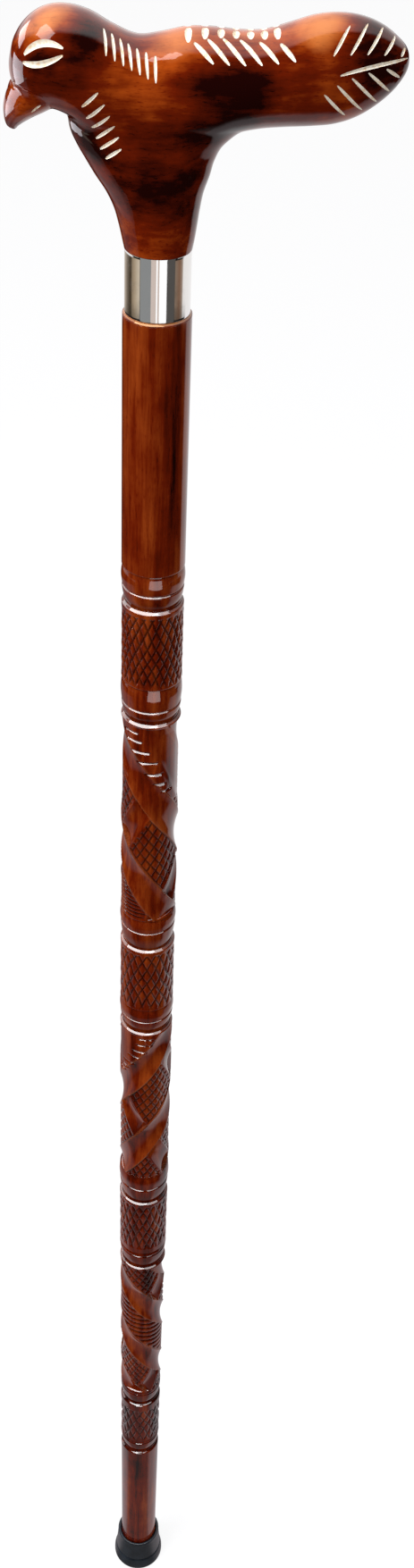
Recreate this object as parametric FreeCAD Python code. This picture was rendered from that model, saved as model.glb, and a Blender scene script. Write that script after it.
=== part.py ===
import FreeCAD, Part
import math
import os

os.makedirs("parts", exist_ok=True)

# A carved wooden walking stick with a bird-shaped T handle.
# Millimetres, +Z up. The origin is the centre of the ferrule's ground face,
# on the shaft's axis. The bird looks towards -X and its tail points to +X.

# Rubber ferrule
ferrule_height = 24.5
ferrule_rim_diameter = 24.7
ferrule_rim_height = 3.0
ferrule_crease_diameter = 26.6
ferrule_crease_height = 8.0
ferrule_crease_depth = 0.4
ferrule_lip_diameter = 28.8
ferrule_lip_height = 4.0
ferrule_floor = 7.0
ferrule_edge = 1.0
ferrule_mouth_chamfer = 0.5
tread_depth = 1.5
tread_width = 1.8
tread_ring_diameters = (8.0, 16.0)
ferrule_stretch_fit = 0.05

# Steel disc in the bottom of the ferrule
washer_thickness = 1.5
washer_diameter = 20.0
washer_hole_diameter = 5.0

# Shaft, from the foot up to the shoulder that carries the collar
shoulder_height = 819.8
shaft_diameter = 24.0
foot_diameter = 20.5
taper_top_height = 350.0
taper_foot_height = 44.0
foot_chamfer = 0.8
shoulder_chamfer = 0.9
shaft_spigot_height = 11.0
spigot_diameter = 20.5
spigot_chamfer = 0.5

# Turned and carved bands, each length measured down the shaft
plain_grip_length = 99.8
bead_lengths = (8.4, 10.7, 7.4, 7.5, 9.6, 3.0, 2.2, 2.8)
waist_lengths = (8.0, 7.1, 11.3, 8.2, 11.2, 10.6, 11.3, 10.4)
hatch_lengths = (35.1, 36.3, 39.3, 35.9)
braid_lengths = (104.5, 101.6, 113.6)
waist_depth = 1.4
bead_step_depth = 0.7
bead_step_height = 0.6
waist_shoulder_depth = 0.25
line_depth = 0.4
line_width = 0.9

# Braid strands: round-bottomed scoops that wind round the shaft and cross
wide_strand_width = 12.5
narrow_strand_width = 9.5
strand_depth = 1.5
strand_edge_drop = 0.75
strand_wall_reach = 2.5
strand_flare = 1.5
cut_overrun = 15.0
waist_flank_share = 0.22

# Per braid: does the wide strand rise to the right, how high it climbs in a
# turn and where it passes the front, then the same for the narrow strand,
# heights as shares of the braid's length
braid_shares = (
    (False, 1.03, 0.66, 1.44, 0.65),
    (True, 1.06, 0.79, 1.48, 0.32),
    (False, 0.78, 0.74, 1.32, 0.65),
)

# Screw joint between shaft and handle
stud_diameter = 8.0
stud_thread_pitch = 1.25
stud_grip_length = 40.0
stud_rise = 16.0
stud_chamfer = 0.8
stud_waist_diameter = 7.0
stud_waist_height = 2.0
machine_thread_depth = 0.6
wood_thread_pitch = 3.0
wood_thread_depth = 0.9
thread_running_fit = 0.05
insert_diameter = 12.0
insert_length = 18.0
insert_barb_pitch = 3.0
insert_barb_depth = 0.6
insert_end_chamfer = 0.5
stud_end_room = 3.0

# Chromed collar over the two spigots
collar_diameter = 22.6
collar_bore_diameter = 20.6
collar_height = 22.6
collar_edge_radius = 0.3
collar_end_fit = 0.05

# Handle
neck_base_diameter = 23.0
spigot_root_depth = 0.6
handle_spigot_height = 10.9
handle_rise = 76.0
handle_length = 125.6
handle_thickness = 31.0
beak_front_reach = 48.2
beak_thickness = 23.0
oval_points = 16

# Stations of the bird's body from face to tail: place along the handle's
# length, underside and top as shares of its rise, thickness as a share
body_shares = (
    (0.010, 0.708, 0.806, 0.26),
    (0.016, 0.680, 0.845, 0.42),
    (0.026, 0.640, 0.881, 0.58),
    (0.048, 0.600, 0.930, 0.78),
    (0.080, 0.592, 0.971, 0.91),
    (0.118, 0.588, 0.992, 0.98),
    (0.158, 0.560, 0.993, 1.00),
    (0.205, 0.498, 0.974, 0.98),
    (0.262, 0.445, 0.925, 0.94),
    (0.325, 0.430, 0.886, 0.93),
    (0.385, 0.430, 0.898, 0.96),
    (0.445, 0.436, 0.920, 0.98),
    (0.508, 0.462, 0.922, 0.98),
    (0.572, 0.507, 0.913, 0.96),
    (0.635, 0.530, 0.916, 0.93),
    (0.700, 0.539, 0.948, 0.88),
    (0.763, 0.544, 0.982, 0.82),
    (0.825, 0.556, 0.993, 0.76),
    (0.880, 0.588, 0.982, 0.68),
    (0.930, 0.642, 0.950, 0.57),
    (0.970, 0.706, 0.903, 0.42),
    (0.994, 0.768, 0.858, 0.22),
)

# Stations of the neck: height as a share of the rise, reach to the front and
# to the back as shares of the base diameter, thickness as a share of it
neck_shares = (
    (0.000, 0.500, 0.500, 1.000),
    (0.050, 0.537, 0.530, 1.010),
    (0.110, 0.583, 0.558, 1.040),
    (0.180, 0.650, 0.590, 1.090),
    (0.250, 0.760, 0.633, 1.150),
    (0.325, 0.925, 0.715, 1.200),
    (0.390, 1.055, 0.775, 1.210),
    (0.450, 1.170, 0.880, 1.200),
    (0.500, 1.245, 1.050, 1.170),
    (0.560, 1.275, 1.240, 1.120),
    (0.620, 1.210, 1.380, 1.020),
)

# Stations of the beak from the face to its tip: height as a share of the
# rise, front and back edges as shares of the beak's reach, thickness share
beak_shares = (
    (0.700, 0.965, 0.520, 1.00),
    (0.655, 1.004, 0.560, 0.95),
    (0.620, 1.022, 0.630, 0.85),
    (0.587, 1.031, 0.722, 0.71),
    (0.560, 1.031, 0.808, 0.56),
    (0.533, 1.025, 0.880, 0.39),
    (0.507, 1.006, 0.935, 0.21),
)

# Heights that follow from the stack of pieces
shaft_foot_height = ferrule_floor + washer_thickness
spigot_top_height = shoulder_height + shaft_spigot_height
collar_foot_height = shoulder_height + collar_end_fit
handle_base_height = collar_foot_height + collar_height + collar_end_fit
handle_foot_height = handle_base_height - handle_spigot_height
stud_foot_height = spigot_top_height - stud_grip_length
stud_top_height = handle_foot_height + stud_rise
beak_front_x = -beak_front_reach

axis_x = FreeCAD.Vector(1, 0, 0)
axis_y = FreeCAD.Vector(0, 1, 0)
axis_z = FreeCAD.Vector(0, 0, 1)
front_deg = -90.0
full_turn_deg = 360.0
quarter_turn_deg = 90.0
curve_steps = 5


def point(x, z):
    return FreeCAD.Vector(x, 0, z)


def lathe(points):
    """A solid turned about Z from points (radius, height) that start and end on the axis."""
    outline = Part.makePolygon([point(r, z) for r, z in points] + [point(*points[0])])
    return Part.Face(outline).revolve(FreeCAD.Vector(), axis_z, full_turn_deg)


def disc(diameter, height, low):
    return Part.makeCylinder(diameter / 2, height, point(0, low))


def tube(outer, inner, height, low):
    return disc(outer, height, low).cut(disc(inner, height, low))


def taper_radius(height):
    """Radius of the shaft's surface: straight, then tapering evenly to the foot."""
    share = (taper_top_height - height) / (taper_top_height - taper_foot_height)
    share = min(max(share, 0), 1)
    return (shaft_diameter + (foot_diameter - shaft_diameter) * share) / 2


def turned_bands():
    """Top and low heights of the beads, the waists and the braids, walking down the shaft."""
    beads, waists, braids = [], [], []
    carved = [None] * len(bead_lengths)
    carved[0::2] = hatch_lengths
    carved[1:-1:2] = braid_lengths
    height = shoulder_height - plain_grip_length
    for number, bead in enumerate(bead_lengths):
        waist_top = height - bead
        waist_low = waist_top - waist_lengths[number]
        beads.append(height)
        waists.append((waist_top, waist_low))
        height = waist_low
        if carved[number]:
            height -= carved[number]
            if number % 2:
                braids.append((waist_low, height))
    return beads, waists, braids


def line_points(height):
    """A fine turned line."""
    r = taper_radius(height)
    half = line_width / 2
    return [(r, height + half), (r - line_depth, height), (r, height - half)]


def waist_points(top, low):
    """A turned waist: a small step under the bead, a rounded taper in, then a short flank out."""
    r_top = taper_radius(top)
    r_low = taper_radius(low)
    r_belt = r_top - waist_shoulder_depth
    r_floor = r_low - waist_depth
    belt_z = top - bead_step_height
    floor_z = low + (top - low) * waist_flank_share
    points = [(r_top, top + bead_step_height), (r_top - bead_step_depth, top), (r_belt, belt_z)]
    for step in range(1, curve_steps + 1):
        angle = math.radians(quarter_turn_deg * step / curve_steps)
        r = r_floor + (r_belt - r_floor) * math.cos(angle)
        points.append((r, belt_z - (belt_z - floor_z) * math.sin(angle)))
    points += [(r_low - waist_shoulder_depth, low + bead_step_height), (r_low, low)]
    return points


def shaft_blank():
    """The shaft before carving: spigot, shoulder, beads and waists, plain foot."""
    beads, waists, braids = turned_bands()
    r_spigot = spigot_diameter / 2
    r_shoulder = shaft_diameter / 2
    r_foot = foot_diameter / 2
    points = [(0, spigot_top_height), (r_spigot - spigot_chamfer, spigot_top_height)]
    points += [(r_spigot, spigot_top_height - spigot_chamfer), (r_spigot, shoulder_height)]
    points.append((r_shoulder - shoulder_chamfer, shoulder_height))
    points.append((r_shoulder, shoulder_height - shoulder_chamfer))
    for bead_top, waist in zip(beads, waists):
        points += line_points(bead_top) + waist_points(*waist)
    points += [(r_foot, taper_foot_height), (r_foot, shaft_foot_height + foot_chamfer)]
    points += [(r_foot - foot_chamfer, shaft_foot_height), (0, shaft_foot_height)]
    return lathe(points)


def strand(radius, low, rise, turn_height, start_deg, width, rises_right):
    """One scoop of a braid: a round-bottomed channel swept up a helix at the shaft's surface."""
    helix = Part.makeHelix(turn_height, rise, radius, 0, not rises_right)
    helix.rotate(FreeCAD.Vector(), axis_z, start_deg)
    helix.translate(point(0, low))
    start = math.radians(start_deg)
    outward = FreeCAD.Vector(math.cos(start), math.sin(start), 0)
    around = FreeCAD.Vector(-math.sin(start), math.cos(start), 0) * (1 if rises_right else -1)
    climb = math.atan2(turn_height, math.radians(full_turn_deg) * radius)
    along = around * math.cos(climb) + axis_z * math.sin(climb)
    across = outward.cross(along)
    centre = outward * radius + point(0, low)
    half = width / 2
    floor = centre - outward * strand_depth
    inner = [centre + across * side - outward * strand_edge_drop for side in (-half, half)]
    brim = half + strand_flare
    outer = [centre + across * side + outward * strand_wall_reach for side in (brim, -brim)]
    edges = [Part.Arc(inner[0], floor, inner[1]).toShape(), Part.makeLine(inner[1], outer[0])]
    edges += [Part.makeLine(outer[0], outer[1]), Part.makeLine(outer[1], inner[0])]
    return Part.Wire(helix).makePipeShell([Part.Wire(edges)], True, True)


def braid_cutters(top, low, shares):
    """The four strands of one braid, two each way, trimmed square at both ends of the braid."""
    length = top - low
    radius = taper_radius((top + low) / 2)
    rises_right, wide_turn_share, wide_front_share, narrow_turn_share, narrow_front_share = shares
    families = (
        (not rises_right, narrow_turn_share, narrow_front_share, narrow_strand_width),
        (rises_right, wide_turn_share, wide_front_share, wide_strand_width),
    )
    room = disc(2 * shaft_diameter, length, low)
    cutters = []
    for rising, turn_share, front_share, width in families:
        turn_height = turn_share * length
        foot = low - cut_overrun
        turns = (low + front_share * length - foot) / turn_height
        for half_turn in (0, full_turn_deg / 2):
            start_deg = front_deg + half_turn - turns * full_turn_deg * (1 if rising else -1)
            sweep = strand(radius, foot, length + 2 * cut_overrun, turn_height, start_deg, width, rising)
            cutters.append(sweep.common(room))
    return cutters


def make_shaft():
    """Turned, carved and drilled for the stud."""
    solid = shaft_blank()
    braids = turned_bands()[2]
    for (top, low), shares in zip(braids, braid_shares):
        for cutter in braid_cutters(top, low, shares):
            solid = solid.cut(cutter)
    return solid.cut(disc(stud_diameter, spigot_top_height - stud_foot_height, stud_foot_height))


def ringed(radius, low, high, pitch, depth):
    """Points up a ringed wall: full radius with a sharp groove at every pitch."""
    points = []
    for ring in range(1, math.ceil((high - low) / pitch)):
        z = low + ring * pitch
        points += [(radius, z - pitch / 4), (radius - depth, z), (radius, z + pitch / 4)]
    return points


def make_joint_stud():
    """Steel hanger bolt: coarse wood thread below, plain waist, fine machine thread above."""
    r_wood = stud_diameter / 2
    r_machine = r_wood - thread_running_fit
    r_waist = stud_waist_diameter / 2
    waist_low = spigot_top_height - stud_waist_height
    points = [(0, stud_foot_height), (r_wood - stud_chamfer, stud_foot_height)]
    points.append((r_wood, stud_foot_height + stud_chamfer))
    points += ringed(r_wood, stud_foot_height, waist_low, wood_thread_pitch, wood_thread_depth)
    points += [(r_wood, waist_low), (r_waist, waist_low), (r_waist, spigot_top_height)]
    points.append((r_machine, spigot_top_height))
    thread_top = stud_top_height - stud_chamfer
    points += ringed(r_machine, spigot_top_height, thread_top, stud_thread_pitch, machine_thread_depth)
    points += [(r_machine, thread_top), (r_machine - stud_chamfer, stud_top_height)]
    points.append((0, stud_top_height))
    return lathe(points)


def make_handle_insert():
    """Threaded bush pressed in the handle, with barbs that grip the wood."""
    r = insert_diameter / 2
    low = handle_foot_height
    top = handle_foot_height + insert_length
    points = [(0, low), (r - insert_end_chamfer, low), (r, low + insert_end_chamfer)]
    points += ringed(r, low, top, insert_barb_pitch, insert_barb_depth)
    points += [(r, top - insert_end_chamfer), (r - insert_end_chamfer, top), (0, top)]
    return lathe(points).cut(disc(stud_diameter, insert_length, low))


def make_collar():
    """Chromed tube with its four rims rounded."""
    solid = tube(collar_diameter, collar_bore_diameter, collar_height, collar_foot_height)
    rims = [edge for edge in solid.Edges if edge.isClosed()]
    return solid.makeFillet(collar_edge_radius, rims)


def oval(centre, half_axis_u, half_axis_v):
    """A closed smooth oval wire around centre, spanned by its two half axes."""
    points = []
    for number in range(oval_points):
        angle = math.radians(full_turn_deg * number / oval_points)
        points.append(centre + half_axis_u * math.cos(angle) + half_axis_v * math.sin(angle))
    curve = Part.BSplineCurve()
    curve.interpolate(Points=points, PeriodicFlag=True)
    return Part.Wire(curve.toShape())


def bird_body():
    """Head, back and tail: ovals standing across the handle's length."""
    wires = []
    for place, low, high, thick in body_shares:
        x = beak_front_x + place * handle_length
        centre = point(x, handle_base_height + (low + high) / 2 * handle_rise)
        half_height = (high - low) / 2 * handle_rise
        half_thick = thick * handle_thickness / 2
        wires.append(oval(centre, axis_y * half_thick, axis_z * half_height))
    return Part.makeLoft(wires, True, False)


def neck():
    """Neck and breast: level ovals that flare from the collar into the body."""
    wires = []
    for rise, front, back, thick in neck_shares:
        centre_x = (back - front) / 2 * neck_base_diameter
        centre = point(centre_x, handle_base_height + rise * handle_rise)
        half_length = (front + back) / 2 * neck_base_diameter
        half_thick = thick * neck_base_diameter / 2
        wires.append(oval(centre, axis_x * half_length, axis_y * half_thick))
    return Part.makeLoft(wires, True, False)


def beak():
    """The hooked beak: level ovals that close downwards to its tip."""
    wires = []
    for rise, front, back, thick in beak_shares:
        centre = point((front + back) / 2 * beak_front_x, handle_base_height + rise * handle_rise)
        half_length = (front - back) / 2 * beak_front_reach
        half_thick = thick * beak_thickness / 2
        wires.append(oval(centre, axis_x * half_length, axis_y * half_thick))
    return Part.makeLoft(wires, True, False)


def make_handle():
    """Bird carved in one piece, with a spigot for the collar and a bore for the insert."""
    solid = bird_body().fuse(neck()).fuse(beak())
    spigot_length = handle_spigot_height + spigot_root_depth
    solid = solid.fuse(disc(spigot_diameter, spigot_length, handle_foot_height))
    solid = solid.cut(disc(insert_diameter, insert_length, handle_foot_height))
    return solid.cut(disc(stud_diameter, stud_rise + stud_end_room, handle_foot_height))


def make_ferrule():
    """Moulded rubber cup: rolled rim, slightly flared wall, creased lip and ringed tread."""
    r_lip = ferrule_lip_diameter / 2
    r_crease = ferrule_crease_diameter / 2
    r_rim = ferrule_rim_diameter / 2
    r_bore = foot_diameter / 2 + ferrule_stretch_fit
    rim_low = ferrule_height - ferrule_rim_height
    edge = ferrule_edge
    points = [(0, 0), (r_lip - edge, 0), (r_lip, edge), (r_lip, ferrule_lip_height)]
    points += [(r_crease, ferrule_crease_height - ferrule_crease_depth)]
    points += [(r_crease - ferrule_crease_depth, ferrule_crease_height)]
    points += [(r_crease, ferrule_crease_height + ferrule_crease_depth), (r_rim, rim_low)]
    points += [(r_rim, ferrule_height - edge), (r_rim - edge / 2, ferrule_height - edge / 4)]
    points += [(r_rim - edge, ferrule_height), (r_bore + ferrule_mouth_chamfer, ferrule_height)]
    points += [(r_bore, ferrule_height - ferrule_mouth_chamfer), (r_bore, ferrule_floor)]
    points.append((0, ferrule_floor))
    solid = lathe(points)
    for diameter in tread_ring_diameters:
        solid = solid.cut(tube(diameter + tread_width, diameter - tread_width, tread_depth, 0))
    return solid


def make_ferrule_washer():
    """Steel disc that keeps the shaft's end from punching through the rubber."""
    return tube(washer_diameter, washer_hole_diameter, washer_thickness, ferrule_floor)


def main():
    pieces = {
        "shaft": make_shaft,
        "joint_stud": make_joint_stud,
        "collar": make_collar,
        "handle": make_handle,
        "handle_insert": make_handle_insert,
        "ferrule": make_ferrule,
        "ferrule_washer": make_ferrule_washer,
    }
    for name, make in pieces.items():
        make().exportStep(os.path.join("parts", name + ".step"))


main()
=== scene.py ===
import math

import bpy
import numpy as np
from mathutils import Matrix, Vector


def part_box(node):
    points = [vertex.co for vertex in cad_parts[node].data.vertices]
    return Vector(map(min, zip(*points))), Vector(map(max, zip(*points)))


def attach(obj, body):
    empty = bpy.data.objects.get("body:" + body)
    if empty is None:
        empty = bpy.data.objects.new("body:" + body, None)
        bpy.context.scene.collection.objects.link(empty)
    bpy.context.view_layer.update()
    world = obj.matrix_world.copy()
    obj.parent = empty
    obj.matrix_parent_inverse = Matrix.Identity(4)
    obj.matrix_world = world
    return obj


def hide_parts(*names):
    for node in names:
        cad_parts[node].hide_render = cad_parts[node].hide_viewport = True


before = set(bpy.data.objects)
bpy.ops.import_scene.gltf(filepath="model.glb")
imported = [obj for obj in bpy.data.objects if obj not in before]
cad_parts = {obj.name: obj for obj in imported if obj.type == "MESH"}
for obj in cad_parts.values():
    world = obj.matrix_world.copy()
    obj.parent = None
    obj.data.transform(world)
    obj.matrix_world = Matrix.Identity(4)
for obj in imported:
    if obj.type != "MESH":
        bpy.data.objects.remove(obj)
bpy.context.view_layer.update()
mm = 0.001

# Camera
# A wide lens close above the stick, looking down its length at the handle's near side.
lens_mm = 40.915
film_height_mm = 36.0
camera_distance = 574.8 * mm
camera_height = 1073.5 * mm
camera_dip = math.radians(38.630)
camera_yaw = math.radians(-2.345)
camera_roll = math.radians(2.351)


def put(name, data):
    """A new object in the scene."""
    item = bpy.data.objects.new(name, data)
    bpy.context.scene.collection.objects.link(item)
    return item


lens = bpy.data.cameras.new("camera")
lens.sensor_fit = "VERTICAL"
lens.sensor_height = film_height_mm
lens.lens = lens_mm
lens.clip_start = 10 * mm
camera = put("camera", lens)
camera.matrix_world = (
    Matrix.Translation((0, -camera_distance, camera_height))
    @ Matrix.Rotation(camera_yaw, 4, "Z")
    @ Matrix.Rotation(math.radians(90) - camera_dip, 4, "X")
    @ Matrix.Rotation(camera_roll, 4, "Z")
)
bpy.context.scene.camera = camera
bpy.context.scene.view_settings.view_transform = "Standard"

# Rubber ferrule
# A moulded black cup stretched over the foot: rolled rim, flared wall, creased lip
# and a ringed tread. It holds by its stretch alone.
ferrule_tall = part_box("ferrule")[1].z / mm
ferrule_lip_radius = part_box("ferrule")[1].x / mm
ferrule_lip_tall = 4.0
ferrule_crease_z = 8.0
ferrule_crease_radius = 13.3
ferrule_rim_radius = 12.35
ferrule_rim_tall = 3.0
ferrule_bore_radius = 10.3
ferrule_floor_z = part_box("ferrule_washer")[0].z / mm
tread_rings = (4.0, 8.0)
tread_half_width = 0.9
tread_depth = 1.5
ferrule_columns = 160


def rounded(corners, arc_steps=6):
    """Profile points: each corner (radius, height, round) gives way to an arc that touches both
    its sides."""
    points = []
    for number, (r, z, size) in enumerate(corners):
        here = np.array((r, z))
        if size == 0 or number in (0, len(corners) - 1):
            points.append(here)
            continue
        before = np.array(corners[number - 1][:2]) - here
        after = np.array(corners[number + 1][:2]) - here
        reach = min(size, np.linalg.norm(before) / 2, np.linalg.norm(after) / 2)
        start = here + before / np.linalg.norm(before) * reach
        end = here + after / np.linalg.norm(after) * reach
        t = np.linspace(0, 1, arc_steps + 1)[:, None]
        points.extend((1 - t) ** 2 * start + 2 * t * (1 - t) * here + t ** 2 * end)
    return np.array(points)


def skin(name, grid, values=None):
    """A closed mesh piece from rings of points in mm, each ring counterclockwise seen from the end.

    Neighbouring rings are joined by quads, and the middle of the first and of the
    last ring closes them with a flat fan. values holds a number per point and name.
    """
    rows, columns = grid.shape[:2]
    middles = np.stack([grid[0].mean(0), grid[-1].mean(0)])
    points = np.concatenate([grid.reshape(-1, 3), middles]) * mm
    index = np.arange(rows * columns).reshape(rows, columns)
    right = np.roll(index, -1, axis=1)
    quads = np.stack([index[:-1], right[:-1], right[1:], index[1:]], -1).reshape(-1, 4)
    low = np.stack([right[0], index[0], np.full(columns, rows * columns)], -1)
    high = np.stack([index[-1], right[-1], np.full(columns, rows * columns + 1)], -1)
    corners = np.concatenate([quads.ravel(), low.ravel(), high.ravel()])
    sizes = np.concatenate([np.full(len(quads), 4), np.full(2 * columns, 3)])
    mesh = bpy.data.meshes.new(name)
    mesh.vertices.add(len(points))
    mesh.vertices.foreach_set("co", points.ravel())
    mesh.loops.add(len(corners))
    mesh.loops.foreach_set("vertex_index", corners)
    mesh.polygons.add(len(sizes))
    mesh.polygons.foreach_set("loop_start", np.cumsum(sizes) - sizes)
    mesh.polygons.foreach_set("use_smooth", sizes == 4)
    for label, field in (values or {}).items():
        attribute = mesh.attributes.new(label, "FLOAT", "POINT")
        attribute.data.foreach_set("value", np.append(field.ravel(), (0, 0)).astype(np.float32))
    mesh.update(calc_edges=True)
    return put(name, mesh)


def turned(profile, columns):
    """Rings of points from a profile (radius, height) turned about the stick's axis."""
    angle = np.linspace(0, 2 * np.pi, columns, endpoint=False)
    r, z = profile[:, :1], profile[:, 1:]
    return np.stack([r * np.cos(angle), r * np.sin(angle), z + 0 * angle], -1)


def add(tree, kind, inputs=None, **settings):
    """A shader node with its settings; an input is a plain value or another node's output."""
    node = tree.nodes.new("ShaderNode" + kind)
    for key, value in settings.items():
        setattr(node, key, value)
    for key, value in (inputs or {}).items():
        if isinstance(value, bpy.types.NodeSocket):
            tree.links.new(value, node.inputs[key])
        else:
            node.inputs[key].default_value = value
    return node


def maths(tree, operation, first, second=0.0, **settings):
    """The result of one sum, product or angle of two values."""
    return add(tree, "Math", {0: first, 1: second}, operation=operation, **settings).outputs[0]


def noise(tree, place, scale, detail, roughness=0.5):
    """Cloudy noise from 0 to 1."""
    inputs = {"Vector": place, "Scale": scale, "Detail": detail, "Roughness": roughness}
    return add(tree, "TexNoise", inputs).outputs["Fac"]


def spread(tree, value, given=(0.0, 1.0), wanted=(0.0, 1.0), kind="LINEAR"):
    """The value stretched from its given range to the wanted one, and held at the ends."""
    inputs = {"Value": value, "From Min": given[0], "From Max": given[1],
              "To Min": wanted[0], "To Max": wanted[1]}
    return add(tree, "MapRange", inputs, interpolation_type=kind).outputs["Result"]


def ramp(tree, value, stops):
    """A colour for the value, from stops (position, colour)."""
    node = add(tree, "ValToRGB", {"Fac": value})
    elements = node.color_ramp.elements
    while len(elements) < len(stops):
        elements.new(0.5)
    for element, (position, colour) in zip(elements, stops):
        element.position = position
    for element, (position, colour) in zip(elements, stops):
        element.color = (*colour, 1)
    return node.outputs["Color"]


def mixed(tree, factor, first, second):
    """The first colour turned towards the second by a factor."""
    inputs = {"Factor": factor, "A": first, "B": second}
    return add(tree, "Mix", inputs, data_type="RGBA").outputs["Result"]


def relief(tree, height, strength, deep):
    """The surface's slope under fine relief, deep in mm."""
    inputs = {"Height": height, "Strength": strength, "Distance": deep * mm}
    return add(tree, "Bump", inputs).outputs["Normal"]


def finish(name, build):
    """A material whose surface shader build(tree) returns."""
    material = bpy.data.materials.new(name)
    material.use_nodes = True
    tree = material.node_tree
    tree.nodes.clear()
    surface = build(tree)
    add(tree, "OutputMaterial", {"Surface": surface.outputs[0]})
    return material


def rubber_shader(tree):
    """Satin black rubber: fine moulding grain and a faint dust in patches."""
    place = add(tree, "TexCoord").outputs["Object"]
    dust = noise(tree, place, 160.0, 5.0)
    grain = noise(tree, place, 2600.0, 2.0)
    return add(tree, "BsdfPrincipled", {
        "Base Color": ramp(tree, dust, ((0.35, (0.009, 0.013, 0.019)), (0.75, (0.022, 0.031, 0.044)))),
        "Roughness": spread(tree, dust, wanted=(0.30, 0.5)),
        "Normal": relief(tree, grain, 0.15, 0.05),
    })


# Corners of the cup's outline: radius, height and rounding, from the tread out, up and down inside
outline = [(0, 0, 0)]
for ring in tread_rings:
    outline += [(ring - tread_half_width, 0, 0.2), (ring - tread_half_width, tread_depth, 0.4)]
    outline += [(ring + tread_half_width, tread_depth, 0.4), (ring + tread_half_width, 0, 0.2)]
outline += [
    (ferrule_lip_radius, 0, 1.0), (ferrule_lip_radius, ferrule_lip_tall, 1.2),
    (ferrule_crease_radius + 0.2, ferrule_crease_z - 0.7, 0.3),
    (ferrule_crease_radius - 0.8, ferrule_crease_z, 0.2),
    (ferrule_crease_radius, ferrule_crease_z + 0.8, 0.5),
    (ferrule_rim_radius, ferrule_tall - ferrule_rim_tall, 0.5),
    (ferrule_rim_radius, ferrule_tall, 1.0), (ferrule_bore_radius + 0.6, ferrule_tall, 0.6),
    (ferrule_bore_radius, ferrule_tall - 1.2, 0.6), (ferrule_bore_radius, ferrule_floor_z, 0.3),
    (0, ferrule_floor_z, 0),
]
profile = rounded(outline)
ferrule = skin("rubber_ferrule", turned(profile[1:-1], ferrule_columns))
ferrule.data.materials.append(finish("black rubber", rubber_shader))
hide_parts("ferrule")
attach(ferrule, "ferrule")

# Steel washer
# A stamped disc in the bottom of the ferrule that keeps the wood from punching through.


def steel_shader(tree):
    """Bright steel with fine lathe marks round its axis and a light stain."""
    place = add(tree, "TexCoord").outputs["Object"]
    squeezed = add(tree, "Mapping", {"Vector": place, "Scale": (0.2, 0.2, 1.0)}).outputs[0]
    marks = noise(tree, squeezed, 900.0, 4.0)
    stain = noise(tree, place, 120.0, 4.0)
    return add(tree, "BsdfPrincipled", {
        "Base Color": ramp(tree, stain, ((0, (0.36, 0.35, 0.33)), (1, (0.62, 0.61, 0.60)))),
        "Metallic": 1.0, "Roughness": spread(tree, marks, wanted=(0.22, 0.42)),
    })


steel = finish("turned steel", steel_shader)
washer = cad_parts["ferrule_washer"]
washer.data.materials.clear()
washer.data.materials.append(steel)

# Shaft
# One turned and hand-carved stick of hardwood, stained red-brown and varnished.
# Heights in mm run down from the shoulder that carries the collar.
spigot_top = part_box("shaft")[1].z / mm
shoulder_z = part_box("collar")[0].z / mm
foot_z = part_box("shaft")[0].z / mm
shaft_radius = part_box("shaft")[1].x / mm
foot_radius = 10.25
taper_top_z = 350.0
taper_foot_z = 44.0
spigot_radius = 10.25
shoulder_edge = 0.6
shoulder_wall = 0.3
foot_edge = 0.8
grip_tall = 99.8
bead_lengths = (8.4, 10.7, 7.4, 7.5, 9.6, 3.0, 2.2, 2.8)
waist_lengths = (8.0, 7.1, 11.3, 8.2, 11.2, 10.6, 11.3, 10.4)
hatch_lengths = (35.1, 36.3, 39.3, 35.9)
braid_lengths = (104.5, 101.6, 113.6)
waist_deep = 1.4
waist_flank = 0.9
bead_crown = 0.25
full_bead = 8
bead_round = 4
# Painted shade: how much the turned waists and grooves are darkened at full depth
turned_painted_shade = 0.6

# The shaft is drawn in lengths that meet just over each waist's floor. The first beads are
# lengths of their own, because one card shows only in them.
seam_up = 0.3
window_beads = 2

# Corners of the turned lines over and under a bead and of the waist's floor: height from the
# line or floor, depth and rounding. The waist has one more between them, and its lower lip.
line_over_bead = ((0.35, 0, 0.15), (0, 0.5, 0.08), (-1.6, 0.05, 0.6))
line_under_bead = ((0.5, 0.15, 0.5), (0, 0.8, 0.08), (-0.55, 0.12, 0.3))
waist_shallow_share, waist_shallow_deep, waist_shallow_round = 0.45, 0.42, 2
waist_floor = ((0.9, waist_deep - 0.15, 0.6), (0, waist_deep, 0.2))
waist_lip_deep, waist_lip_round = 0.05, 0.35

# Hatching: V-grooves that wind both ways round a band, with plain margins over and under them
hatch_lines = (22, 18, 19, 16)
hatch_plain = ((1.6, 0.6), (1.6, 0.6), (1.6, 3.6), (5.0, 0.6))
hatch_deep = 0.6
hatch_half_width = 0.62
hatch_lean = math.radians(24)
hatch_crown = 0.28
hatch_fades = (1.0, 2.4)
groove_round = 0.35

# Slow waves of an unsteady hand: size, waves round the stick and mm of height in a radian
hatch_sway = ((0.10, 3, 9), (0.07, 5, -5.3), (0.05, 0, 3.1))
back_sway_share = 0.8
hatch_least_worn, hatch_more_worn = 0.85, 0.25
hatch_wear = (((1, 7, 4.1),), ((1, 2, -6.7),))
braid_sway = ((0.35, 2, 17), (0.25, 3, -11))

# Braids: does the wide strand rise to the right, its climb in a turn and height
# at the front, the same two for the narrow strand, and is its lowest gap a closed lens
braids = (
    (False, 107.6, 615.5, 150.5, 614.5, False),
    (True, 107.7, 454.5, 150.4, 406.0, False),
    (False, 88.6, 270.5, 150.0, 260.4, True),
)

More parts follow.
